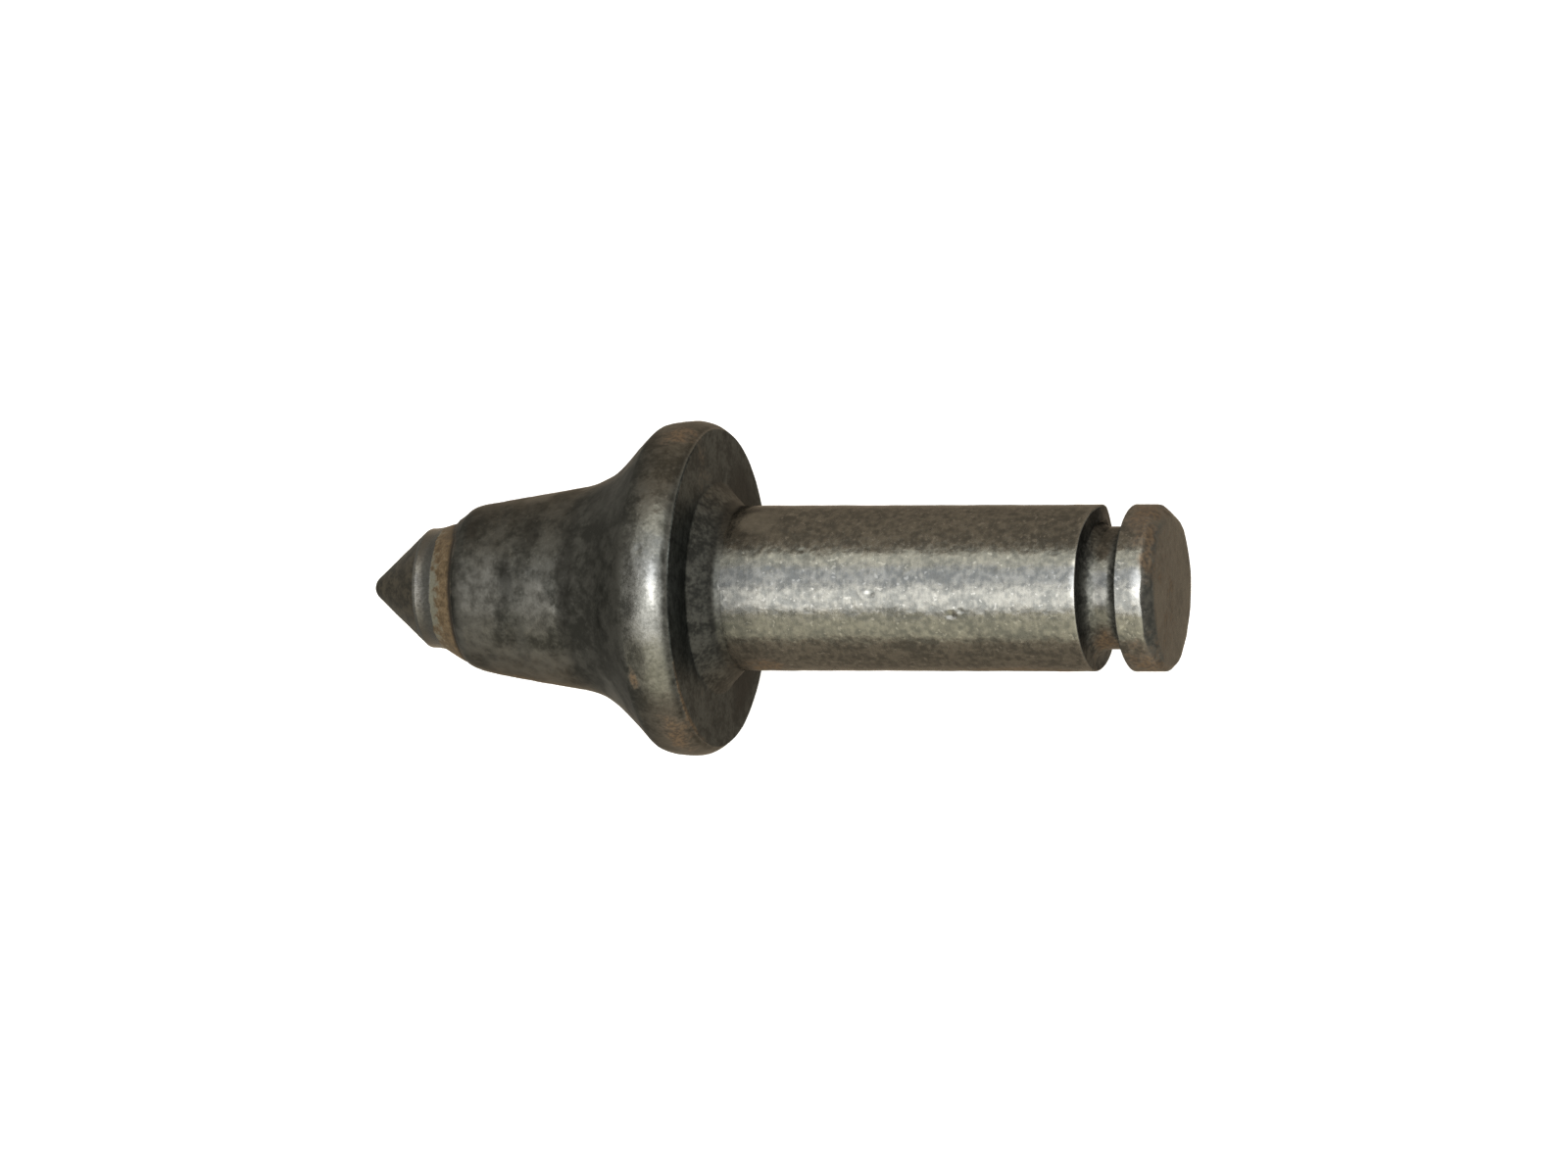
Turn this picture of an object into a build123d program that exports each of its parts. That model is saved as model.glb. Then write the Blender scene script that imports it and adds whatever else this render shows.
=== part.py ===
from build123d import *

import os
from math import asin, cos, degrees, radians, sin, tan

# Conical cutting pick: a forged steel body with a brazed cemented-carbide tip.
#
# The pick is a solid of revolution about the X axis. The origin is the centre of the seat, the flat
# rear face of the collar that bears on the tool holder. The tip points along -X and the shank along
# +X, so a holder slides off the shank towards +X. All sizes are in millimetres.
#
# Pieces: steel_body (nose, head, collar, shank, retainer groove and button in one forging),
# carbide_tip (the insert that cuts) and braze_joint (the filler that holds the tip in its pocket).

# Shank, retainer groove and button
shank_radius = 12.5
shank_length = 71.4  # from the seat to the end of the button
seat_cone_radius = 16.0  # where the 45 degree root cone meets the seat
groove_start = 59.9
groove_width = 5.9
groove_radius = 9.2
groove_fillet = 2.0
shank_end_fillet = 0.2
button_front_break = 0.25
button_chamfer = 1.5

# Collar, from the seat forward: two arcs make the crown and a small one the rim
collar_radius = 25.4
crest_setback = 3.6  # from the seat to the widest circle
crown_rear_radius = 5.4
crown_front_radius = 14.8
crown_front_angle = 13.5
rim_radius = 1.9
seat_edge_fillet = 0.15

# Head: a 45 degree flare, a hollow root, a slow cone and a rounded nose
flare_angle = 45.0
flare_length = 6.6
root_radius = 15.5
head_angle = 9.3
head_length = 16.2
nose_radius = 5.0
nose_angle = 31.0
mouth_fillet = 0.2

# Carbide tip: outside the pocket a cone and a hollow skirt, inside it a plain base
tip_cone_angle = 41.1  # half angle
tip_radius = 9.15
tip_shoulder_x = -46.13  # where the cone meets the skirt
tip_point_radius = 2.1
tip_shoulder_fillet = 0.75
skirt_radius = 10.7
skirt_angle = 15.0
tip_base_x = -33.2
tip_base_chamfer = 1.2
stud_count = 3
stud_radius = 0.8
stud_circle_radius = 5.5

# Braze joint: a thin cup in the pocket and a hollow fillet outside it
braze_gap = 0.2
braze_start_angle = 14.0  # slope of the skirt where the filler begins
braze_fillet_radius = 8.3
braze_end_angle = 42.0
braze_setback = 0.2  # how far the filler stays inside the pocket's mouth


def heading(angle):
    """Unit vector in the profile plane, angle in degrees from +X towards +Z."""
    return Vector(cos(radians(angle)), sin(radians(angle)))


def rings(part, x, radius):
    """The edges of a part that are circles about the X axis at one station and radius."""
    return [
        edge
        for edge in part.edges().filter_by(GeomType.CIRCLE)
        if abs(edge.arc_center.X - x) < 1e-3 and abs(edge.radius - radius) < 1e-3
    ]


# ---------------------------------------------------------------- steel body
# The rear crown leaves the seat at the angle that puts its crest crest_setback forward.
seat_edge_angle = degrees(asin(crest_setback / crown_rear_radius))
seat_edge_radius = collar_radius - crown_rear_radius * (1 - cos(radians(seat_edge_angle)))
button_end_x = shank_length - button_chamfer
groove_end = groove_start + groove_width

with BuildPart() as steel_body:
    with BuildSketch(Plane.XZ):
        with BuildLine():
            # From the seat's outer edge forward over the collar and along the head to the mouth.
            crown_rear = JernArc(
                (0, seat_edge_radius),
                heading(180 - seat_edge_angle),
                crown_rear_radius,
                seat_edge_angle,
            )
            crown_front = JernArc(crown_rear @ 1, crown_rear % 1, crown_front_radius, crown_front_angle)
            rim = JernArc(crown_front @ 1, crown_front % 1, rim_radius, flare_angle - crown_front_angle)
            flare = Line(rim @ 1, rim @ 1 + flare_length * (rim % 1))
            root = JernArc(flare @ 1, flare % 1, root_radius, head_angle - flare_angle)
            head = Line(root @ 1, root @ 1 + head_length * (root % 1))
            nose = JernArc(head @ 1, head % 1, nose_radius, nose_angle - head_angle)
            mouth = nose @ 1
            # Down to the axis, along it, and forward over the button, groove and shank to the seat.
            Polyline(
                mouth,
                (mouth.X, 0),
                (shank_length, 0),
                (shank_length, shank_radius - button_chamfer),
                (button_end_x, shank_radius),
                (groove_end, shank_radius),
                (groove_end, groove_radius),
                (groove_start, groove_radius),
                (groove_start, shank_radius),
                (seat_cone_radius - shank_radius, shank_radius),
                (0, seat_cone_radius),
                (0, seat_edge_radius),
            )
        make_face()
    revolve(axis=Axis.X)

    # Pocket for the tip: countersunk mouth, straight wall, and a flat floor with a chamfered corner.
    pocket_radius = tip_radius + skirt_radius * (1 - cos(radians(skirt_angle))) + braze_gap
    pocket_floor_x = tip_base_x + braze_gap
    countersink_x = mouth.X + mouth.Y - pocket_radius
    with BuildSketch(Plane.XZ):
        with BuildLine():
            Polyline(
                (mouth.X, 0),
                mouth,
                (countersink_x, pocket_radius),
                (pocket_floor_x - tip_base_chamfer, pocket_radius),
                (pocket_floor_x, pocket_radius - tip_base_chamfer),
                (pocket_floor_x, 0),
                close=True,
            )
        make_face()
    revolve(axis=Axis.X, mode=Mode.SUBTRACT)

    fillet(rings(steel_body, mouth.X, mouth.Y), mouth_fillet)
    fillet(rings(steel_body, 0, seat_edge_radius), seat_edge_fillet)
    groove_corners = rings(steel_body, groove_start, groove_radius)
    groove_corners += rings(steel_body, groove_end, groove_radius)
    fillet(groove_corners, groove_fillet)
    fillet(rings(steel_body, groove_start, shank_radius), shank_end_fillet)
    chamfer(rings(steel_body, groove_end, shank_radius), button_front_break)
steel_body.part.label = "steel_body"

# --------------------------------------------------------------- carbide tip
# The blunt point is a ball that touches the cone.
cone_apex_x = tip_shoulder_x - tip_radius / tan(radians(tip_cone_angle))
ball_centre_x = cone_apex_x + tip_point_radius / sin(radians(tip_cone_angle))
point_x = ball_centre_x - tip_point_radius

with BuildPart() as carbide_tip:
    with BuildSketch(Plane.XZ):
        with BuildLine():
            ball = JernArc((point_x, 0), heading(90), tip_point_radius, tip_cone_angle - 90)
            Line(ball @ 1, (tip_shoulder_x, tip_radius))
            skirt = JernArc((tip_shoulder_x, tip_radius), heading(0), skirt_radius, skirt_angle)
            base_radius = (skirt @ 1).Y
            Polyline(
                skirt @ 1,
                (tip_base_x - tip_base_chamfer, base_radius),
                (tip_base_x, base_radius - tip_base_chamfer),
                (tip_base_x, 0),
                (point_x, 0),
            )
        make_face()
    revolve(axis=Axis.X)
    fillet(rings(carbide_tip, tip_shoulder_x, tip_radius), tip_shoulder_fillet)
    # Low studs on the base hold the tip off the pocket's floor while the filler runs in.
    with BuildSketch(Plane.YZ.offset(tip_base_x)):
        with PolarLocations(stud_circle_radius, stud_count, start_angle=90):
            Circle(stud_radius)
    extrude(amount=braze_gap)
carbide_tip.part.label = "carbide_tip"

# --------------------------------------------------------------- braze joint
# The filler takes all the room between the tip and the pocket, and ends outside in the fillet.
braze_start = Vector(
    tip_shoulder_x + skirt_radius * sin(radians(braze_start_angle)),
    tip_radius + skirt_radius * (1 - cos(radians(braze_start_angle))),
)

with BuildPart() as braze_joint:
    with BuildSketch(Plane.XZ):
        with BuildLine():
            fillet_face = JernArc(
                braze_start,
                heading(braze_start_angle),
                braze_fillet_radius,
                braze_end_angle - braze_start_angle,
            )
            Polyline(
                fillet_face @ 1,
                mouth + Vector(braze_setback, -braze_setback),
                (countersink_x, pocket_radius),
                (pocket_floor_x - tip_base_chamfer, pocket_radius),
                (pocket_floor_x, pocket_radius - tip_base_chamfer),
                (pocket_floor_x, 0),
                (braze_start.X, 0),
                braze_start,
            )
        make_face()
    revolve(axis=Axis.X)
    add(carbide_tip.part, mode=Mode.SUBTRACT)
braze_joint.part.label = "braze_joint"

os.makedirs("parts", exist_ok=True)
export_step(steel_body.part, "parts/steel_body.step")
export_step(carbide_tip.part, "parts/carbide_tip.step")
export_step(braze_joint.part, "parts/braze_joint.step")

print("overall length", round(shank_length - point_x, 2))
print("mouth of the pocket", mouth)
print("filler meets the countersink near", fillet_face @ 1)
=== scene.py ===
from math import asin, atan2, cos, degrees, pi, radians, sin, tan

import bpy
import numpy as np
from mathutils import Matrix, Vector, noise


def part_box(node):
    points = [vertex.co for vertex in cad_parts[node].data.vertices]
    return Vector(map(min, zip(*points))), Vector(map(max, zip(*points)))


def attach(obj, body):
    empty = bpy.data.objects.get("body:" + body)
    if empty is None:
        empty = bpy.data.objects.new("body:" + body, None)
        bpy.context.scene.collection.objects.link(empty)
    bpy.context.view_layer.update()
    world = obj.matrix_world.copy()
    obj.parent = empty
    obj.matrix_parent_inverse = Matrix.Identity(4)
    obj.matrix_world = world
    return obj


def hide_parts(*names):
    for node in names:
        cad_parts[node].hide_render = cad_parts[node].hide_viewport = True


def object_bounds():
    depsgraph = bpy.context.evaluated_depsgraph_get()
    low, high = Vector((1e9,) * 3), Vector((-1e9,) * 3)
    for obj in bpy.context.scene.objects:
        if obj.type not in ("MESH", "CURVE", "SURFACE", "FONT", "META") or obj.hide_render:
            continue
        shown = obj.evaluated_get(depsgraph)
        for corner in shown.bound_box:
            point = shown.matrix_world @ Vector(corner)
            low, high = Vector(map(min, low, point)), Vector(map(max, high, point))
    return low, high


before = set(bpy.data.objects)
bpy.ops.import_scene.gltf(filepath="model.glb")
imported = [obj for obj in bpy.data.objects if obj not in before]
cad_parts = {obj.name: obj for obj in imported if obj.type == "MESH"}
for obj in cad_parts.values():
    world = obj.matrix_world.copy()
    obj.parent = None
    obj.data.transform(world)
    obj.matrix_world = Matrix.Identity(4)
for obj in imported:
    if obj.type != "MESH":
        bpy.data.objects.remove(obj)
cad_low, cad_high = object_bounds()

# Looks of a conical cutting pick: a dark forged steel body, a cemented-carbide tip and the braze
# between them. The pick lies along the X axis, tip at -X, with the origin at the centre of the
# collar's seat. Its pieces are turned here as fine meshes on the CAD model's own dimensions, and the
# marks of the real thing are cut into them: forging waves, dents, worn edges, a lip of steel and a
# ragged fillet of filler. Sizes of the pieces are in millimetres and scaled once, in turned().

MM = 0.001
SEED = 7
TURN = 2 * pi

# ------------------------------------------------------------------ driving dimensions, as in the CAD
shank_radius = 12.5
shank_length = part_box("steel_body")[1].x / MM
seat_cone_radius = 16.0
groove_start, groove_end = 59.9, 65.8
groove_radius, groove_fillet = 9.2, 2.0

collar_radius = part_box("steel_body")[1].z / MM
crest_setback = 3.6
crown_rear_radius, crown_front_radius = 5.4, 14.8
crown_front_angle = 13.5
rim_radius = 1.9

flare_angle, flare_length = 45.0, 6.6
root_radius = 15.5
head_angle, head_length = 9.3, 16.2
nose_radius, nose_angle = 5.0, 31.0

tip_point_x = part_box("carbide_tip")[0].x / MM
tip_cone_angle = 41.1
tip_point_radius = 2.1
tip_radius = 9.15
tip_shoulder_x, tip_shoulder_fillet = -46.13, 0.75
skirt_radius, skirt_angle = 10.7, 15.0
tip_base_x = -33.2
tip_base_chamfer = 1.2
braze_gap = 0.2

# The side of the pick that faces the camera, and its upper and lower outlines as the camera sees
# them, in degrees round the axis from +Z towards +Y.
near_side, upper_side, lower_side = -15, 75, -105


# ------------------------------------------------------------------ outlines
def arc(point, heading, radius, turn, pieces):
    """Points of an arc that leaves point at heading, both angles in degrees, and the new heading."""
    side = 1 if turn > 0 else -1
    centre_x = point[0] - side * radius * sin(radians(heading))
    centre_r = point[1] + side * radius * cos(radians(heading))
    points = []
    for step in range(1, pieces + 1):
        angle = radians(heading + turn * step / pieces)
        points.append((centre_x + side * radius * sin(angle), centre_r - side * radius * cos(angle)))
    return points, heading + turn


def line(point, heading, length):
    return (point[0] + length * cos(radians(heading)), point[1] + length * sin(radians(heading)))


def rounded(corners, degrees_per_piece=14):
    """An outline whose corners, given as (x, r, radius), are replaced by tangent arcs."""
    points = [np.array(corners[0][:2])]
    for before, corner, after in zip(corners, corners[1:], corners[2:]):
        here = np.array(corner[:2])
        if corner[2] == 0:
            points.append(here)
            continue
        arrive = here - np.array(before[:2])
        leave = np.array(after[:2]) - here
        start = degrees(atan2(arrive[1], arrive[0]))
        turn = (degrees(atan2(leave[1], leave[0])) - start + 180) % 360 - 180
        setback = corner[2] * tan(radians(abs(turn)) / 2)
        first = here - arrive / np.linalg.norm(arrive) * setback
        points.append(first)
        pieces = max(2, round(abs(turn) / degrees_per_piece))
        points += [np.array(p) for p in arc(first, start, corner[2], turn, pieces)[0]]
    points.append(np.array(corners[-1][:2]))
    return np.array(points)


def divided(points, step, hold=0.07):
    """The same outline with no stretch longer than step(x, r), and a row held close to each corner."""
    rows = [points[0]]
    for a, b in zip(points, points[1:]):
        length = np.linalg.norm(b - a)
        count = max(1, int(np.ceil(length / step(*(a + b) / 2))))
        shares = np.arange(1, count + 1) / count
        if length > 12 * hold:
            shares = np.unique(np.concatenate([shares, [hold / length, 1 - hold / length]]))
        rows += [a + (b - a) * share for share in shares]
    return np.array(rows)


def outward(points):
    """Unit normals of an outline, on the side that faces out of the solid."""
    along = np.gradient(points, axis=0)
    along /= np.maximum(np.linalg.norm(along, axis=1, keepdims=True), 1e-9)
    return np.stack([-along[:, 1], along[:, 0]], axis=1)


# ------------------------------------------------------------------ turned meshes
def turned(name, x, r, layers=None):
    """A closed solid of revolution about X from its rows of x and r, each given for every angle.

    Angle 0 is +Z and a quarter turn is +Y. The first and last rows lie on the axis.
    """
    rows, segments = x.shape
    angle = np.arange(segments) * TURN / segments
    inner = slice(1, rows - 1)
    ring = np.stack([x[inner], r[inner] * np.sin(angle), r[inner] * np.cos(angle)], axis=2)
    ends = np.array([[x[0].mean(), 0, 0], [x[-1].mean(), 0, 0]])
    vertices = np.concatenate([ring.reshape(-1, 3), ends]) * MM
    index = np.arange((rows - 2) * segments).reshape(rows - 2, segments)
    beside = np.roll(index, -1, axis=1)
    quads = np.stack([index[:-1], index[1:], beside[1:], beside[:-1]], axis=2).reshape(-1, 4)
    first, last = len(vertices) - 2, len(vertices) - 1
    caps = [(first, int(a), int(b)) for a, b in zip(index[0], beside[0])]
    caps += [(last, int(b), int(a)) for a, b in zip(index[-1], beside[-1])]
    mesh = bpy.data.meshes.new(name)
    mesh.from_pydata(vertices.tolist(), [], quads.tolist() + caps)
    mesh.shade_smooth()
    for layer, values in (layers or {}).items():
        flat = np.concatenate([values[inner].reshape(-1), [values[0].mean(), values[-1].mean()]])
        mesh.attributes.new(layer, "FLOAT", "POINT").data.foreach_set("value", flat.astype(np.float32))
    piece = bpy.data.objects.new(name, mesh)
    bpy.context.collection.objects.link(piece)
    return piece


def around_axis(outline, segments):
    """Rows of x, r and angle of an outline repeated round the axis."""
    angle = np.arange(segments) * TURN / segments
    x = np.repeat(outline[:, :1], segments, axis=1)
    r = np.repeat(outline[:, 1:], segments, axis=1)
    return x, r, np.repeat(angle[None, :], len(outline), axis=0)


def waves(x, r, angle, size, seed, stretch=1.0, octaves=3):
    """Smooth noise over the surface, about -1 to 1. stretch lengthens it round the axis."""
    y = r * np.sin(angle) / (size * stretch)
    z = r * np.cos(angle) / (size * stretch)
    points = np.stack([x / size + 31.7 * seed, y + 11.3 * seed, z - 7.9 * seed], axis=-1).reshape(-1, 3)
    values = [noise.fractal(p, 0.9, 2.1, octaves) for p in points]
    return np.array(values).reshape(x.shape)


def summed_waves(x, r, angle, table):
    """Height of several waves, each given as (height, size, seed, stretch round the axis, octaves)."""
    return sum(height * waves(x, r, angle, *shape) for height, *shape in table)


def waves_round(angle, radius, size, seed):
    """The same smooth noise along a circle about the axis."""
    return waves(angle * 0, angle * 0 + radius, angle, size, seed)


def smooth(value, low, high):
    """0 below low, 1 above high, and a soft step between."""
    t = np.clip((value - low) / (high - low), 0, 1)
    return t * t * (3 - 2 * t)


def around(angle, at_angle):
    """Signed angle from a place given in degrees, in radians between -pi and pi."""
    return (angle - radians(at_angle) + pi) % TURN - pi


def swell(angle, at_angle, width):
    """1 at a place round the axis, given in degrees, and a soft fall to each side over width radians."""
    return np.exp(-((around(angle, at_angle) / width) ** 2))


def patch(x, r, angle, at_x, at_angle, length, width):
    """1 in the middle of an oval patch of the skin, 0 at its edge and less outside it."""
    return 1 - np.hypot((x - at_x) / (length / 2), around(angle, at_angle) * r / (width / 2))


def patches(x, r, angle, places):
    """The highest of several patches, no less than -1."""
    cover = np.full(x.shape, -1.0)
    for place in places:
        cover = np.maximum(cover, patch(x, r, angle, *place))
    return cover


def dent(x, r, angle, at_x, at_angle, length, width, depth):
    """A hollow with a low raised lip."""
    distance = 1 - patch(x, r, angle, at_x, at_angle, length, width)
    hollow = np.clip(1 - distance**2, 0, 1) ** 2
    lip = np.exp(-(((distance - 1.2) / 0.25) ** 2))
    return depth * (0.3 * lip - hollow)


# ------------------------------------------------------------------ where braze and steel meet
seat_edge_angle = degrees(asin(crest_setback / crown_rear_radius))
seat_edge_radius = collar_radius - crown_rear_radius * (1 - cos(radians(seat_edge_angle)))


def head_outline():
    """From the seat's edge forward over the collar and the head to the mouth of the pocket."""
    points = [(0.0, seat_edge_radius)]
    heading = 180 - seat_edge_angle
    for radius, turn, pieces in (
        (crown_rear_radius, seat_edge_angle, 10),
        (crown_front_radius, crown_front_angle, 8),
        (rim_radius, flare_angle - crown_front_angle, 6),
    ):
        more, heading = arc(points[-1], heading, radius, turn, pieces)
        points += more
    points.append(line(points[-1], heading, flare_length))
    more, heading = arc(points[-1], heading, root_radius, head_angle - flare_angle, 18)
    points += more
    points.append(line(points[-1], heading, head_length))
    return points + arc(points[-1], heading, nose_radius, nose_angle - head_angle, 5)[0]


head = head_outline()
mouth_x, mouth_radius = head[-1]
base_radius = tip_radius + skirt_radius * (1 - cos(radians(skirt_angle)))
pocket_radius = base_radius + braze_gap
pocket_floor_x = tip_base_x + braze_gap
countersink_x = mouth_x + mouth_radius - pocket_radius


def skirt_r(x):
    """Radius of the tip's skirt at x."""
    return tip_radius + skirt_radius - np.sqrt(skirt_radius**2 - (x - tip_shoulder_x) ** 2)


fillet_start_x = -43.7  # the mean place of the fillet's front, on the tip's skirt
front_radius, edge_radius = 10.0, 12.0  # of the circles along which the fillet and the lip are ragged
fillet_hollow = 0.34  # how far the fillet hangs below a straight cone in the middle
lower_fullness = 0.42  # how much fuller it is at the lower side
lip_bare, lip_lap = 0.93, 0.66  # where the steel's lip ends, as the fillet's t, and how far it laps on


def fillet_surface(t, angle):
    """x and r of the hollow fillet round the tip, from its ragged front, t = 0, to the mouth, t = 1."""
    ragged = waves_round(angle, front_radius, 2.6, SEED + 20)
    slow = waves_round(angle, front_radius, 9.0, SEED + 21)
    start_x = fillet_start_x + 0.45 * ragged + 0.3 * slow
    start_r = skirt_r(start_x) - 0.03
    end_x, end_r = mouth_x + 0.05, mouth_radius - 0.06
    fullness = lower_fullness * swell(angle, lower_side, 0.7)
    sag = -4 * fillet_hollow * t * (1 - t) + (fullness + 0.07 * ragged) * np.sin(pi * t)
    return start_x + (end_x - start_x) * t, start_r + (end_r - start_r) * t + sag


def lip_reach(angle):
    """How far forward the steel laps over the fillet, as the fillet's own t, all round the axis."""
    lap = swell(angle, upper_side + 15, 0.75)
    ragged = waves_round(angle, edge_radius, 4.0, SEED + 22)
    return np.clip(lip_bare - lip_lap * lap + 0.05 * ragged, 0.2, 0.97)


# ------------------------------------------------------------------ steel body
SEGMENTS = 270
LIP_ROWS = 8
UNDERSIDE_ROWS = 3
ADDED_ROWS = UNDERSIDE_ROWS + LIP_ROWS
EDGE_ROWS = 2  # the first rows of the lip's face, painted dark as shade under the lip
lip_lift = 0.07  # of the lip's face over the fillet
lip_sunk = -0.12  # of its underside and its edge, below the fillet
edge_softness = 0.09  # of the edges that wear has cut back
blunt_chamfer = 0.8  # the smallest chamfer of the button, which wear has made wider in most places
mean_wear, upper_wear, lower_keep = 0.66, 0.5, 0.7  # depth of that wear, more above and less below
collar_out, end_out, end_back, lower_back = 0.07, 0.95, 0.45, 0.25  # how far shoulders are out of true
turning_start = (3.0, 4.6)  # along x, where the forging's skin gives way to the turned shank
seat_start = (-0.12, -0.02)  # along x, just before the flat face behind the collar
shaded_radius = 24.0  # where the painted shade in the corner behind the collar ends

# Waves of the surface, as summed_waves() takes them.
forging_waves = [
    (0.12, 11.0, SEED, 1.0, 3),
    (0.05, 2.8, SEED + 1, 1.0, 3),
]
turned_waves = [
    (0.040, 6.5, SEED + 4, 1.0, 2),
    (0.030, 3.2, SEED + 2, 1.0, 3),
    (0.016, 1.3, SEED + 3, 1.3, 3),
]
lower_swelling = 0.16  # of the head and the flare on the lower side

steel_corners = [
    (pocket_floor_x, 0, 0),
    (pocket_floor_x, pocket_radius - tip_base_chamfer, 0),
    (pocket_floor_x - tip_base_chamfer, pocket_radius, 0),
    (countersink_x, pocket_radius, 0),
    (mouth_x, mouth_radius, 0),
    *[(x, r, 0) for x, r in reversed(head[1:-1])],
    (0, seat_edge_radius, 0.15),
    (0, seat_cone_radius, 0.7),
    (seat_cone_radius - shank_radius, shank_radius, 1.6),
    (groove_start, shank_radius, 0.22),
    (groove_start, groove_radius, groove_fillet),
    (groove_end, groove_radius, groove_fillet),
    (groove_end, shank_radius, 0.25),
    (shank_length - blunt_chamfer, shank_radius, 0.15),
    (shank_length, shank_radius - blunt_chamfer, 0.12),
    (shank_length, 0, 0),
]

# Patches of the skin as (x, degrees round the axis, length along x, width round it).
# A paler patch of the shank, kept free of the painted shade.
pale_patch = (9.2, 40, 7.6, 7.2)
light_scale = [
    (-34.8, -31, 9.6, 19.0),
    (-24.0, -29, 6.0, 10.0),
    (-27.0, 62, 6.0, 9.0),
    pale_patch,
    (68.4, 50, 6.0, 10.0),
    (-28.0, -69, 18.0, 10.0),
    (-33.0, 118, 9.0, 12.0),
    (-22.0, 190, 10.0, 16.0),
    (-31.0, -120, 8.0, 10.0),
    (-14.5, 150, 6.0, 12.0),
    (-12.5, -75, 5.0, 14.0),
]
dark_scale = [
    (-19.3, -10, 3.0, 26.0),
    (-26.2, 20, 3.6, 8.0),
    (-12.5, 42, 4.0, 12.0),
    (-8.0, 47, 5.0, 8.0),
    (-36.5, 30, 3.0, 6.0),
    (-29.5, -10, 2.6, 10.0),
    (-17.5, 215, 5.0, 16.0),
    (-29.0, 160, 6.0, 9.0),
]
# Rust, and long brown strips along the upper and lower outlines that are painted reflection of the warm
# surroundings.
rust_and_reflection_places = [
    (70.6, 5, 2.6, 7.0),
    (68.8, 54, 6.0, 17.0),
    (69.2, -84, 6.0, 12.0),
    (-3.0, 51, 6.0, 7.5),
    (-6.4, -48, 1.5, 4.5),
    # Painted reflection of the warm surroundings, along the lower and upper outlines of the head.
    (-30.0, -97, 24.0, 6.0),
    (-27.0, 72, 24.0, 5.0),
    (-2.6, -78, 4.0, 13.0),
    (62.6, -80, 4.6, 7.0),
    (70.4, 27, 2.6, 8.0),
    # Painted reflection of the warm surroundings, along the outlines of the shank.
    (9.0, -88, 9.0, 6.0),
    (35.0, 78, 30.0, 5.0),
    (48.0, -96, 26.0, 5.0),
    (30.0, 160, 12.0, 9.0),
    (-6.0, 200, 5.0, 14.0),
]
polished = [
    (59.8, -13, 2.0, 7.0),
    (59.7, 2, 1.2, 1.8),
    (69.5, -12, 2.8, 7.5),
    (27.6, -18, 1.6, 0.8),
    (-2.3, -13, 2.0, 9.0),
    (-2.2, 120, 3.0, 12.0),
    (-2.4, -140, 3.0, 13.0),
]
# Dents as (x, degrees, length, width, depth).
dents = [
    (27.8, -20, 2.0, 1.3, 0.09),
    (40.5, -34, 1.9, 1.5, 0.16),
    (42.0, -31, 1.2, 0.9, 0.08),
    (17.0, 12, 1.2, 1.0, 0.06),
    (-4.6, -2, 1.6, 1.4, 0.12),
    (-3.0, -24, 1.3, 1.6, 0.10),
    (-2.4, 13, 1.4, 1.2, 0.10),
    (-28.3, 8, 1.6, 1.6, 0.09),
    (-25.0, -6, 1.4, 1.8, 0.08),
    (-17.0, -46, 1.8, 1.5, 0.10),
    (33.0, 120, 2.4, 1.4, 0.12),
    (52.0, 205, 1.8, 1.6, 0.10),
    (-4.0, 140, 2.0, 2.6, 0.16),
    (-4.4, -150, 1.8, 2.0, 0.14),
]


def steel_step(x, r):
    """Spacing of the rows: wide where the braze hides the steel, close where wear shows."""
    if r <= pocket_radius + 0.01 and x < pocket_floor_x + 0.01:
        return 2.5
    if x > shank_length - 2.6:
        return 0.32 if r > shank_radius - 3 else 1.1
    return 0.46 if x > 5 else 0.6


def with_lip(x, r, angle, mouth_row):
    """Add the lip that laps over the fillet: its sunk underside, its thin edge, and its face."""
    start = lip_reach(angle[0])
    underside = [(1 - (k + 1) / (UNDERSIDE_ROWS + 1), lip_sunk) for k in range(UNDERSIDE_ROWS)]
    face = [(k / LIP_ROWS, lip_sunk if k == 0 else lip_lift) for k in range(LIP_ROWS)]
    rows = []
    for share, lift in underside + face:
        lip_x, lip_r = fillet_surface(start + (1 - start) * share, angle[0])
        rows.append((lip_x, lip_r + lift))
    lip_x = np.array([row[0] for row in rows])
    lip_r = np.array([row[1] for row in rows])
    x = np.concatenate([x[:mouth_row], lip_x, x[mouth_row:]])
    r = np.concatenate([r[:mouth_row], lip_r, r[mouth_row:]])
    return x, r, np.repeat(angle[:1], len(x), axis=0)


def worn_button(x, r, angle):
    """Cut the button's chamfer back to its worn size, widest at the upper side."""
    notch = swell(angle, upper_side - 6, 0.4)
    kept = swell(angle, lower_side, 0.65)
    rough = waves_round(angle, edge_radius, 4.0, SEED + 30)
    depth = np.clip(mean_wear + upper_wear * notch - lower_keep * kept + 0.2 * rough, 0, 2)
    excess = (x - shank_length + blunt_chamfer) + (r - shank_radius) + depth
    softened = edge_softness * np.logaddexp(0, excess / edge_softness)
    cut = np.where(x > groove_end + 1, softened, 0) / 2
    return x - cut, r - cut


def uneven_shoulders(x, r, angle):
    """Lean the collar and the end of the shank a little, as forging and wear left them."""
    collar = smooth(x, -9.0, -3.0) * smooth(r, 15.0, 24.0)
    collar_lean = collar_out * (1 + np.cos(around(angle, upper_side)))
    shank_end = smooth(x, groove_start - 3.0, groove_start - 0.2) * (x < groove_start + 0.3)
    shank_end *= smooth(r, groove_radius + 0.2, groove_radius + 1.2)
    forward = end_out * swell(angle, upper_side - 4, 0.5)
    back = end_back * swell(angle, near_side + 170, 0.85)
    back += lower_back * swell(angle, lower_side, 0.45)
    return x + collar * collar_lean + shank_end * (forward - back)


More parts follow.
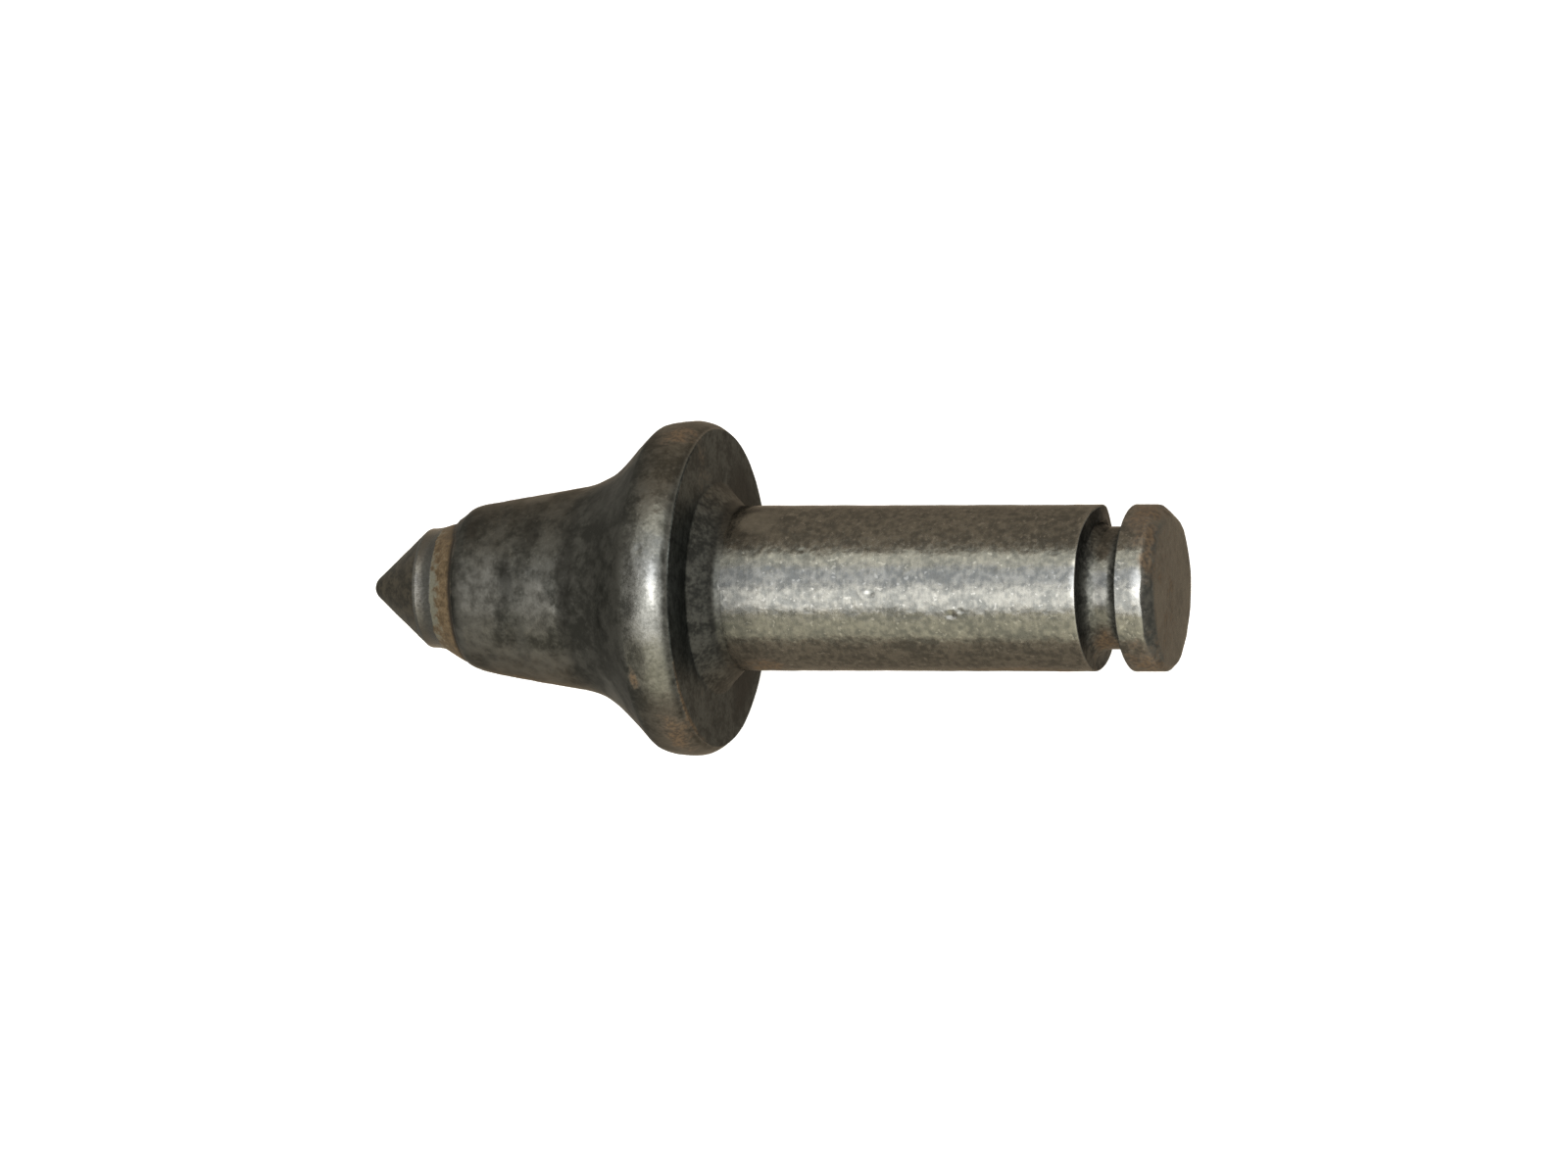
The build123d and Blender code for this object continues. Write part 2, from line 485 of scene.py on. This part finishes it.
def steel_relief(x, r, angle, skin, machined):
    """Height over the plain outline: waves of the forging and the lathe, a fuller lower side, dents."""
    back_face = smooth(x, *seat_start) * (1 - smooth(x, *turning_start)) * skin
    forged = skin * (1 - machined) * (1 - 0.7 * back_face)
    height = lower_swelling * swell(angle, lower_side, 0.9) * smooth(x, -38, -34) * smooth(-x, 9, 13)
    height += forged * summed_waves(x, r, angle, forging_waves)
    height += machined * summed_waves(x, r, angle, turned_waves)
    for place in dents:
        height += skin * dent(x, r, angle, *place)
    return height


def seat_rim(x, r):
    """1 along the outer edge of the seat."""
    return smooth(x, -0.45, -0.1) * smooth(r, seat_edge_radius - 0.5, seat_edge_radius - 0.1) * (x < 1)


def groove_masks(x, r):
    """1 inside the retainer groove, and 1 along the middle of its floor."""
    inside = smooth(shank_radius - r, 0.12, 0.3) * (x > groove_start - 1) * (x < groove_end + 1)
    middle = (groove_start + groove_end) / 2
    return inside, np.exp(-(((x - middle) / 1.5) ** 2)) * inside


def worn_edges(x, r, angle, skin, inside_groove):
    """Wear on the collar's crest, the end of the shank, the button's chamfer and the seat's rim."""
    crest = smooth(x, -9.0, -2.6) * (1 - smooth(x, -1.2, -0.3)) * skin
    crest *= 1 - 0.6 * swell(angle, near_side + 44, 0.4)
    shank_edge = smooth(x, groove_start - 0.75, groove_start - 0.1) * (x < groove_start + 0.4)
    shank_edge *= 1 - inside_groove
    bevel_edge = smooth(x, shank_length - 2.2, shank_length - 1.6)
    bevel_edge *= smooth(r, shank_radius - 0.55, shank_radius)
    return np.maximum.reduce([0.38 * crest, 0.5 * shank_edge, 0.5 * bevel_edge, 0.5 * seat_rim(x, r)])


def painted_shade_places(x, r, angle, skin, inside_groove, groove_floor):
    """Painted shade: darker in the corner behind the collar, along the shank after it, and in the groove.
    """
    far_side = np.cos(around(angle, near_side + 180))
    # Painted shade on the seat behind the shank, on the side away from the camera.
    shaded_corner = smooth(shaded_radius - r, 0, 4.0) * smooth(far_side, 0.15, 0.55)
    shaded_corner *= (x > -0.2) * (x < 2.5) * skin
    # Painted shade along the shank next to the collar, stronger towards the upper side.
    after_seat = (1 - smooth(x, 5.0, 15.0)) * smooth(x, 2.2, 2.8) * skin
    after_seat *= 1 - smooth(patch(x, r, angle, *pale_patch), 0.0, 0.4)
    after_seat *= 0.5 + 0.3 * swell(angle, near_side + 62, 0.5)
    # Painted shade at the top of the groove, and more on the groove's floor.
    groove_top = 0.85 * inside_groove * swell(angle, upper_side - 5, 0.8)
    return np.maximum.reduce([0.9 * shaded_corner, 0.62 * groove_floor, groove_top, after_seat])


def steel_layers(x, r, angle, skin, machined, lip_edge):
    """Where the looks of the steel show, as values at the mesh's points that the material reads."""
    inside_groove, groove_floor = groove_masks(x, r)
    scaled_cone = smooth(x, *seat_start) * (1 - smooth(x, 3.4, 5.0)) * skin
    end_face = smooth(x, shank_length - 0.35, shank_length - 0.1)
    rust_line = 2 * seat_rim(x, r) * swell(angle, near_side - 50, 0.5) - 1
    return {
        "machined": machined,
        "seat": smooth(r, seat_cone_radius - 0.2, seat_cone_radius + 0.2) * (np.abs(x) < 0.4),
        "oxide": np.maximum(scaled_cone, inside_groove - 0.8 * groove_floor),
        # Painted shade in the corners, the groove and under the steel's lip.
        "painted_shade": np.maximum(painted_shade_places(x, r, angle, skin, inside_groove, groove_floor), lip_edge),
        "worn": worn_edges(x, r, angle, skin, inside_groove),
        "polish": patches(x, r, angle, polished) * skin * (1 - inside_groove),
        "light": np.maximum(patches(x, r, angle, light_scale) * skin, 1.3 * end_face - 1),
        "dark": patches(x, r, angle, dark_scale) * skin,
        # Rust, and painted reflection along the outlines.
        "rust_and_reflection": np.maximum(patches(x, r, angle, rust_and_reflection_places) * skin, rust_line),
    }


def make_steel():
    outline = divided(rounded(steel_corners), steel_step)
    mouth_row = int(np.argmin(np.hypot(outline[:, 0] - mouth_x, outline[:, 1] - mouth_radius)))
    x, r, angle = around_axis(outline, SEGMENTS)
    normal = outward(outline)
    lip_normal = np.tile(normal[mouth_row], (ADDED_ROWS, 1))
    normal = np.concatenate([normal[:mouth_row], lip_normal, normal[mouth_row:]])
    x, r, angle = with_lip(x, r, angle, mouth_row)
    row = np.arange(len(x))[:, None] + x * 0
    face_row = mouth_row + UNDERSIDE_ROWS
    skin_row = mouth_row + ADDED_ROWS - 1
    # The lip's underside and edge, which get painted shade.
    lip_edge = (row >= mouth_row) * (row < face_row + EDGE_ROWS)
    skin = smooth(row, skin_row, skin_row + 5)
    machined = smooth(x, *turning_start) * skin

    height = steel_relief(x, r, angle, skin, machined)
    x = x + normal[:, :1] * height
    r = r + normal[:, 1:] * height
    x, r = worn_button(x, r, angle)
    x = uneven_shoulders(x, r, angle)
    return turned("forged_body", x, r, steel_layers(x, r, angle, skin, machined, lip_edge))


# ------------------------------------------------------------------ carbide tip
FINE_SEGMENTS = 224  # of the tip and the braze
FILLET_ROWS = 24
sintered_waves = [
    (0.025, 3.0, SEED + 10, 1.0, 3),
    (0.010, 0.9, SEED + 11, 1.0, 3),
]


def make_tip():
    ball = [(tip_point_x, 0)]
    ball += arc(ball[0], 90, tip_point_radius, tip_cone_angle - 90, 9)[0]
    skirt = arc((tip_shoulder_x, tip_radius), 0, skirt_radius, skirt_angle, 8)[0]
    corners = [
        *[(x, r, 0) for x, r in ball],
        (tip_shoulder_x, tip_radius, tip_shoulder_fillet),
        *[(x, r, 0) for x, r in skirt],
        (tip_base_x - tip_base_chamfer, base_radius, 0),
        (tip_base_x, base_radius - tip_base_chamfer, 0),
        (tip_base_x, 0, 0),
    ]
    outline = divided(rounded(corners, 8), lambda x, r: 0.3)
    x, r, angle = around_axis(outline, FINE_SEGMENTS)
    height = summed_waves(x, r, angle, sintered_waves) * smooth(-x, 36, 38) * smooth(r, 0.0, 2.0)
    normal = outward(outline)
    x = x + normal[:, :1] * height
    r = r + normal[:, 1:] * height
    cutting = 1 - smooth(x, tip_shoulder_x - 0.5, tip_shoulder_x)
    tarnish_and_shade = smooth(x, tip_shoulder_x + 0.5, tip_shoulder_x + 2.2)
    # Painted shade: darker all round except on the side that faces the camera and the lamps.
    tarnish_and_shade = np.maximum(tarnish_and_shade, 1 - swell(angle, near_side + 5, 0.6))
    return turned("carbide_insert", x, r, {"cutting": cutting, "tarnish_and_shade": tarnish_and_shade})


# ------------------------------------------------------------------ braze
cup_front_x = -43.0  # front end of the braze's bore, hidden in the tip under the fillet's front
crease_ahead, crease_width = 0.06, 0.09  # of the crease before the steel's lip, sunk and painted dark as shade, as the fillet's t
crease_depth = 0.2
flux_end = 0.55  # how far back the flux reaches, as the fillet's t


def make_braze():
    angle = np.arange(FINE_SEGMENTS) * TURN / FINE_SEGMENTS
    flat = angle * 0
    inner = [
        (tip_base_x, 0),
        (tip_base_x, base_radius - tip_base_chamfer),
        (tip_base_x - tip_base_chamfer, base_radius),
        (cup_front_x, base_radius - 0.12),
    ]
    rest = [
        (countersink_x, pocket_radius),
        (pocket_floor_x - tip_base_chamfer, pocket_radius),
        (pocket_floor_x, pocket_radius - tip_base_chamfer),
        (pocket_floor_x, 0),
    ]
    lip = lip_reach(angle)
    stained = 0.35 + swell(angle, near_side - 8, 0.55)
    rows = [(flat + x, flat + r, flat, flat) for x, r in inner]
    for k in range(FILLET_ROWS + 1):
        t = k / FILLET_ROWS
        x, r = fillet_surface(t, angle)
        # The crease sinks the fillet and carries the painted shade under the lip.
        crease = np.exp(-(((t - lip + crease_ahead) / crease_width) ** 2))
        flux = np.clip(1 - t / flux_end, 0, 1) * stained
        rows.append((x, r - crease_depth * crease, flux, crease))
    rows += [(flat + x, flat + r, flat, flat) for x, r in rest]
    x, r, flux, crease = (np.array([row[k] for row in rows]) for k in range(4))
    return turned("braze_fillet", x, r, {"flux": flux, "crease": crease})


# ------------------------------------------------------------------ shader helpers
def add(tree, kind, inputs=None, **settings):
    """A new node with its settings, and its inputs set to values or linked to sockets."""
    made = tree.nodes.new(kind)
    for key, value in settings.items():
        setattr(made, key, value)
    for key, value in (inputs or {}).items():
        if isinstance(value, bpy.types.NodeSocket):
            tree.links.new(value, made.inputs[key])
        else:
            made.inputs[key].default_value = value
    return made


def grain(tree, size, detail=3.0, roughness=0.6, stretch=(1, 1, 1), offset=0.0):
    """Noise of a given size in millimetres over the object. stretch lengthens it along X, Y and Z."""
    place = add(tree, "ShaderNodeTexCoord").outputs["Object"]
    scale = [1 / (size * MM * s) for s in stretch]
    moved = add(
        tree, "ShaderNodeMapping", {"Vector": place, "Scale": scale, "Location": (offset, offset, offset)}
    )
    texture = add(
        tree,
        "ShaderNodeTexNoise",
        {"Vector": moved.outputs[0], "Scale": 1.0, "Detail": detail, "Roughness": roughness},
    )
    return texture.outputs["Fac"]


def step(tree, value, low, high, to_low=0.0, to_high=1.0):
    """A soft step of a value from low to high, mapped to to_low and to_high."""
    made = add(
        tree,
        "ShaderNodeMapRange",
        {"Value": value, "From Min": low, "From Max": high, "To Min": to_low, "To Max": to_high},
        interpolation_type="SMOOTHSTEP",
    )
    return made.outputs[0]


def mix(tree, factor, a, b):
    """Colour a where factor is 0 and b where it is 1."""
    made = add(tree, "ShaderNodeMix", data_type="RGBA")
    for socket, value in ((made.inputs[0], factor), (made.inputs[6], a), (made.inputs[7], b)):
        if isinstance(value, bpy.types.NodeSocket):
            tree.links.new(value, socket)
        else:
            socket.default_value = value
    return made.outputs[2]


def level(tree, factor, a, b):
    """Number a where factor is 0 and b where it is 1."""
    made = add(tree, "ShaderNodeMix", data_type="FLOAT")
    for socket, value in ((made.inputs[0], factor), (made.inputs[2], a), (made.inputs[3], b)):
        if isinstance(value, bpy.types.NodeSocket):
            tree.links.new(value, socket)
        else:
            socket.default_value = value
    return made.outputs[0]


def coats(tree, base, layers, join):
    """A base colour or number with others laid over it, each by its own mask."""
    for mask, shade in layers:
        base = join(tree, mask, base, shade)
    return base


def combine(tree, operation, a, b):
    return add(tree, "ShaderNodeMath", {0: a, 1: b}, operation=operation).outputs[0]


def weighted(tree, *terms):
    """The sum of several values, each given with its weight."""
    total = 0.0
    for value, weight in terms:
        term = combine(tree, "MULTIPLY", value, weight)
        total = term if total == 0.0 else combine(tree, "ADD", total, term)
    return total


def ragged(tree, value, noise_value, amount, edge, width=0.1):
    """A mask with a broken border: where a value, pushed about by noise, passes an edge."""
    pushed = weighted(tree, (value, 1.0), (noise_value, amount))
    return step(tree, pushed, edge + amount / 2 - width, edge + amount / 2 + width)


def attribute(tree, name):
    return add(tree, "ShaderNodeAttribute", attribute_name=name).outputs["Fac"]


def colour(red, green, blue):
    return (red, green, blue, 1.0)


def two_tone(tree, tone, low, high, dark, pale):
    """A colour that goes from dark to pale as a tone passes from low to high."""
    return mix(tree, step(tree, tone, low, high), dark, pale)


def part_of(tree, mask, share):
    """A mask that covers only a share of what it covered."""
    return combine(tree, "MULTIPLY", mask, share)


def bumps(tree, height, depth):
    """A normal bent by a height, which counts for depth millimetres where it rises by 1."""
    return add(tree, "ShaderNodeBump", {"Height": height, "Distance": depth * MM}).outputs[0]


def new_material(name):
    material = bpy.data.materials.new(name)
    material.use_nodes = True
    tree = material.node_tree
    return material, tree, tree.nodes["Principled BSDF"]


# ------------------------------------------------------------------ materials
# Colours of the steel in linear light, each pair from its dark to its pale end.
scale_colours = colour(0.059, 0.061, 0.057), colour(0.120, 0.122, 0.115)
bare_colours = colour(0.100, 0.104, 0.102), colour(0.180, 0.181, 0.171)
corner_colours = colour(0.044, 0.046, 0.044), colour(0.136, 0.140, 0.131)
seat_colours = colour(0.036, 0.040, 0.039), colour(0.104, 0.114, 0.111)
# Rust, also used for the painted reflection along the outlines.
rust_and_reflection_colours = colour(0.07, 0.048, 0.03), colour(0.175, 0.114, 0.062)
dark_scale_colour = colour(0.034, 0.034, 0.032)
light_scale_colour = colour(0.185, 0.187, 0.178)
# Painted shade for corners, the groove and under the lip.
painted_shade_colour = colour(0.026, 0.026, 0.025)
worn_colour = colour(0.26, 0.264, 0.256)
sparkle_colour = colour(0.30, 0.302, 0.294)
polished_colour = colour(0.38, 0.385, 0.38)

# How each layer of the steel's mesh gets its ragged border: noise, its amount, edge and width.
steel_borders = {
    "light": ("broad", 1.5, 0.14, 0.22),
    "dark": ("broad", 1.8, 0.2, 0.35),
    "oxide": ("mottle", 1.0, 0.5, 0.2),
    "worn": ("fine", 0.5, 0.5, 0.5),
    "polish": ("fine", 0.8, 0.5, 0.6),
    "painted_shade": ("mottle", 0.5, 0.5, 0.6),
    "rust_and_reflection": ("mottle", 2.2, 0.25, 0.5),
}


def steel_noises(tree):
    """The noises that the looks of the steel share, from the broadest to the finest."""
    return {
        "broad": grain(tree, 6.0, 5.0, 0.62),
        "mottle": grain(tree, 2.0, 3.0, 0.6, offset=6.0),
        "hammered": grain(tree, 1.1, 1.0, 0.5, offset=9.0),
        "ripple": grain(tree, 0.9, 3.0, 0.6, offset=4.0),
        "speck": grain(tree, 0.75, 1.0, 0.5, offset=12.0),
        "fine": grain(tree, 0.6, 2.0, 0.6, offset=3.0),
        "marks": grain(tree, 0.34, 3.0, 0.6, stretch=(1, 7, 7), offset=2.0),
    }


def steel_masks(tree, noises):
    """Where each look of the steel shows: the layers of its mesh, most of them with ragged borders."""
    masks = {name: attribute(tree, name) for name in ("machined", "seat")}
    for name, (noise_name, amount, edge, width) in steel_borders.items():
        masks[name] = ragged(tree, attribute(tree, name), noises[noise_name], amount, edge, width)
    return masks


def oxide_colour(tree, noises, masks):
    """Black oxide of the root cone and the groove, a little bluer on the seat."""
    tone = weighted(tree, (noises["broad"], 0.35), (noises["mottle"], 0.35), (noises["fine"], 0.3))
    corner = two_tone(tree, tone, 0.42, 0.6, *corner_colours)
    seat = two_tone(tree, tone, 0.42, 0.6, *seat_colours)
    return mix(tree, masks["seat"], corner, seat)


def steel_colour(tree, noises, masks):
    """Forging scale or bare metal, and the other looks laid over them in turn."""
    broad, mottle, fine = noises["broad"], noises["mottle"], noises["fine"]
    scale_tone = weighted(tree, (broad, 0.5), (mottle, 0.35), (fine, 0.15))
    scale = two_tone(tree, scale_tone, 0.41, 0.59, *scale_colours)
    marks, hammered = noises["marks"], noises["hammered"]
    bare_tone = weighted(tree, (fine, 0.15), (marks, 0.15), (hammered, 0.4), (broad, 0.3))
    bare = two_tone(tree, bare_tone, 0.4, 0.6, *bare_colours)
    rust_and_reflection = two_tone(tree, fine, 0.35, 0.65, *rust_and_reflection_colours)
    sparkle = step(tree, noises["speck"], 0.65, 0.72)
    sparkle_share = level(tree, masks["machined"], 0.12, 0.5)
    light_share = step(tree, mottle, 0.25, 0.65, 0.34, 0.74)
    layers = [
        (part_of(tree, masks["dark"], 0.55), dark_scale_colour),
        (part_of(tree, masks["worn"], 0.9), worn_colour),
        (part_of(tree, sparkle, sparkle_share), sparkle_colour),
        (masks["oxide"], oxide_colour(tree, noises, masks)),
        # Painted shade in corners, the groove and under the lip.
        (part_of(tree, masks["painted_shade"], 0.85), painted_shade_colour),
        (part_of(tree, masks["light"], light_share), light_scale_colour),
        (part_of(tree, masks["polish"], 0.95), polished_colour),
        # Rust, and painted reflection of the warm surroundings along the outlines.
        (part_of(tree, masks["rust_and_reflection"], 0.7), rust_and_reflection),
    ]
    return coats(tree, mix(tree, masks["machined"], scale, bare), layers, mix)


def steel_roughness(tree, noises, masks):
    scale = step(tree, noises["mottle"], 0.3, 0.7, 0.28, 0.42)
    bare = step(tree, noises["fine"], 0.3, 0.7, 0.19, 0.31)
    plain = level(tree, masks["machined"], scale, bare)
    layers = [("worn", 0.29), ("polish", 0.2), ("oxide", 0.42), ("rust_and_reflection", 0.5)]
    return coats(tree, plain, [(masks[name], value) for name, value in layers], level)


def steel_height(tree, noises, masks):
    """Fine relief: coarse on the forging, and rippled, hammered and tool-marked on the shank."""
    mottle, fine = noises["mottle"], noises["fine"]
    forged = weighted(tree, (mottle, 1.3), (fine, 0.40), (noises["speck"], 0.3))
    marks, hammered = noises["marks"], noises["hammered"]
    bare = weighted(tree, (noises["ripple"], 0.5), (hammered, 0.8), (fine, 0.1), (marks, 0.16))
    return level(tree, masks["machined"], forged, bare)


def steel_material():
    """Dark forging scale, bare turned shank, black oxide, bright wear, a little rust, painted shade and
    painted reflection.
    """
    material, tree, surface = new_material("dark_forged_steel")
    noises = steel_noises(tree)
    masks = steel_masks(tree, noises)
    metal = coats(tree, 0.96, [(masks["oxide"], 0.9), (masks["rust_and_reflection"], 0.6)], level)
    tree.links.new(steel_colour(tree, noises, masks), surface.inputs["Base Color"])
    tree.links.new(metal, surface.inputs["Metallic"])
    tree.links.new(steel_roughness(tree, noises, masks), surface.inputs["Roughness"])
    relief = bumps(tree, steel_height(tree, noises, masks), 0.04)
    tree.links.new(relief, surface.inputs["Normal"])
    surface.inputs["Specular Tint"].default_value = colour(0.62, 0.62, 0.62)
    return material


def carbide_material():
    """Sintered grey carbide, tarnished round the skirt, painted darker as shade all round but the side
    facing the camera, and stained dark on the cutting cone.
    """
    material, tree, surface = new_material("cemented_carbide")
    mottle = grain(tree, 2.2, 4.0, 0.62)
    fine = grain(tree, 0.45, 3.0, 0.6, offset=5.0)
    tone = weighted(tree, (mottle, 0.65), (fine, 0.35))
    grey = two_tone(tree, tone, 0.4, 0.6, colour(0.16, 0.16, 0.155), colour(0.21, 0.21, 0.203))
    stained = two_tone(tree, tone, 0.4, 0.6, colour(0.040, 0.038, 0.031), colour(0.105, 0.094, 0.073))
    cutting = ragged(tree, attribute(tree, "cutting"), fine, 0.4, 0.5, 0.2)
    tarnish_and_shade = ragged(tree, attribute(tree, "tarnish_and_shade"), mottle, 1.0, 0.5, 0.4)
    # Tarnish on the skirt, and painted shade on all but the side facing the camera.
    grey = mix(tree, part_of(tree, tarnish_and_shade, 0.7), grey, colour(0.08, 0.084, 0.083))
    tree.links.new(mix(tree, cutting, grey, stained), surface.inputs["Base Color"])
    surface.inputs["Metallic"].default_value = 0.9
    rough = level(tree, cutting, step(tree, fine, 0.3, 0.7, 0.24, 0.36), 0.42)
    tree.links.new(rough, surface.inputs["Roughness"])
    height = weighted(tree, (mottle, 1.0), (fine, 0.2))
    tree.links.new(bumps(tree, height, 0.03), surface.inputs["Normal"])
    return material


def braze_material():
    """Dull bronze filler, grey and greenish with flux at its front, and painted black as shade in the
    crease at the steel's lip.
    """
    material, tree, surface = new_material("braze_filler")
    mottle = grain(tree, 1.2, 4.0, 0.65)
    fine = grain(tree, 0.35, 3.0, 0.65, offset=8.0)
    tone = weighted(tree, (mottle, 0.65), (fine, 0.35))
    bronze = two_tone(tree, tone, 0.38, 0.62, colour(0.088, 0.063, 0.036), colour(0.19, 0.138, 0.082))
    flux = ragged(tree, attribute(tree, "flux"), mottle, 2.8, 0.55, 0.35)
    flux_shade = mix(tree, fine, colour(0.12, 0.12, 0.097), colour(0.24, 0.24, 0.2))
    # Painted shade: the crease under the steel's lip goes near black.
    crease = part_of(tree, attribute(tree, "crease"), 0.95)
    shade = coats(tree, bronze, [(flux, flux_shade), (crease, colour(0.014, 0.013, 0.012))], mix)
    tree.links.new(shade, surface.inputs["Base Color"])
    surface.inputs["Metallic"].default_value = 0.6
    rough = level(tree, flux, step(tree, mottle, 0.3, 0.7, 0.42, 0.58), 0.36)
    tree.links.new(rough, surface.inputs["Roughness"])
    height = weighted(tree, (mottle, 1.0), (fine, 0.5))
    tree.links.new(bumps(tree, height, 0.06), surface.inputs["Normal"])
    return material


# ------------------------------------------------------------------ pieces
for piece, material, node, slot in (
    (make_steel(), steel_material(), "steel_body", "forged_steel"),
    (make_tip(), carbide_material(), "carbide_tip", "cemented_carbide"),
    (make_braze(), braze_material(), "braze_joint", "braze_filler"),
):
    piece.data.materials.append(material)
    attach(piece, "root")
    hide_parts(node)

# ------------------------------------------------------------------ camera
def placed(place, across, up, towards):
    """A matrix that puts an object at a place, with its own X, Y and Z along three directions."""
    return Matrix.Translation(place) @ Matrix((across, up, towards)).transposed().to_4x4()


# The camera looks down on the pick from the shank's side. tilt is how far it leans from square-on
# towards +X, and pitch how far it looks down.
camera_tilt, camera_pitch = radians(18.24), radians(75)
camera_distance, camera_lens = 1.377, 208.8
camera_target = Vector((10.41 * MM, 0, 0))

back = Vector(
    (
        sin(camera_tilt),
        -cos(camera_tilt) * cos(camera_pitch),
        cos(camera_tilt) * sin(camera_pitch),
    )
)
upward = Vector((0, sin(camera_pitch), cos(camera_pitch)))
sideways = upward.cross(back)
camera = bpy.data.objects.new("camera", bpy.data.cameras.new("camera"))
bpy.context.collection.objects.link(camera)
camera.matrix_world = placed(camera_target + back * camera_distance, sideways, upward, back)
camera.data.lens = camera_lens
camera.data.sensor_width = 36
camera.data.clip_start, camera.data.clip_end = 0.1, 20
bpy.context.scene.camera = camera


# ------------------------------------------------------------------ studio
def panel(name, low, high, radiance, tint, distance=1.0, reach=(-25, 35)):
    """A soft box that wraps part of an arc over the pick.

    low and high are its edges in degrees round X from the camera's pitch, positive towards +Y.
    reach is its span in degrees along X, and distance is in metres.
    """
    middle = camera_pitch + radians((low + high) / 2)
    lean = radians(sum(reach) / 2)
    towards = Vector((sin(lean), -cos(lean) * cos(middle), cos(lean) * sin(middle)))
    lamp = bpy.data.lights.new(name, "AREA")
    lamp.shape = "RECTANGLE"
    lamp.size = 2 * distance * tan(radians(reach[1] - reach[0]) / 2)
    lamp.size_y = 2 * distance * tan(radians(high - low) / 2)
    lamp.color = tint
    lamp.energy = radiance * pi * lamp.size * lamp.size_y
    holder = bpy.data.objects.new(name, lamp)
    holder.visible_camera = False
    bpy.context.collection.objects.link(holder)
    up = Vector((0, sin(middle), cos(middle)))
    across = up.cross(towards).normalized()
    up = towards.cross(across)
    holder.matrix_world = placed(towards * distance, across, up, towards)


panel("key", low=-31, high=2, radiance=4.1, tint=(1.0, 1.0, 0.97))
panel("cool_fill", low=3, high=30, radiance=2.0, tint=(0.93, 1.0, 1.08))
panel("far_fill", low=31, high=50, radiance=2.35, tint=(1.0, 1.0, 0.88))
panel("near_fill", low=-74, high=-35, radiance=1.2, tint=(1.0, 0.99, 0.76))


def plain_material(name, shade, glow):
    """A matt grey that also glows white."""
    material, tree, surface = new_material(name)
    surface.inputs["Base Color"].default_value = colour(shade, shade, shade)
    surface.inputs["Roughness"].default_value = 1.0
    surface.inputs["Specular IOR Level"].default_value = 0.0
    surface.inputs["Emission Color"].default_value = colour(1, 1, 1)
    surface.inputs["Emission Strength"].default_value = glow
    return material


def stage_piece(name, points, faces, material):
    """A piece of the stage that stays out of the metal's reflections."""
    mesh = bpy.data.meshes.new(name)
    mesh.from_pydata(points, [], faces)
    made = bpy.data.objects.new(name, mesh)
    made.data.materials.append(material)
    bpy.context.collection.objects.link(made)
    made.visible_glossy = False
    made.visible_diffuse = False
    return made


stage_sides, stage_radius = 96, 3.0
floor_gap = 0.0002  # metres between the collar and the floor


def backdrop():
    """A round pale floor just under the collar, and a pale dome over it."""
    floor_z = cad_low.z - floor_gap
    directions = [(cos(k * TURN / stage_sides), sin(k * TURN / stage_sides)) for k in range(stage_sides)]
    rim = [(stage_radius * px, stage_radius * py, floor_z) for px, py in directions]
    stage_piece("floor", rim, [tuple(range(stage_sides))], plain_material("pale_floor", 0.7, 0.72))
    heights = [radians(a) for a in range(0, 90, 6)]
    points = [
        (px * cos(height), py * cos(height), floor_z + stage_radius * sin(height))
        for height in heights
        for px, py, _ in rim
    ]
    faces = []
    for row in range(len(heights) - 1):
        for k in range(stage_sides):
            a, b = row * stage_sides + k, row * stage_sides + (k + 1) % stage_sides
            faces.append((a, a + stage_sides, b + stage_sides, b))
    faces.append(tuple(range((len(heights) - 1) * stage_sides, len(heights) * stage_sides)))
    dome = stage_piece("dome", points, faces, plain_material("pale_dome", 0.0, 1.0))
    dome.visible_shadow = False


backdrop()


def room():
    """Surroundings that the metal reflects: warm to the sides, darker and greyer beyond the ends."""
    world = bpy.data.worlds.new("room")
    world.use_nodes = True
    tree = world.node_tree
    direction = add(tree, "ShaderNodeTexCoord").outputs["Generated"]
    along = add(tree, "ShaderNodeSeparateXYZ", {0: direction}).outputs["X"]
    towards_end = step(tree, combine(tree, "ABSOLUTE", along, 0.0), 0.36, 0.62)
    shade = mix(tree, towards_end, colour(0.60, 0.48, 0.345), colour(0.40, 0.375, 0.32))
    tree.links.new(shade, tree.nodes["Background"].inputs["Color"])
    return world


bpy.context.scene.world = room()
bpy.context.scene.view_settings.view_transform = "Standard"
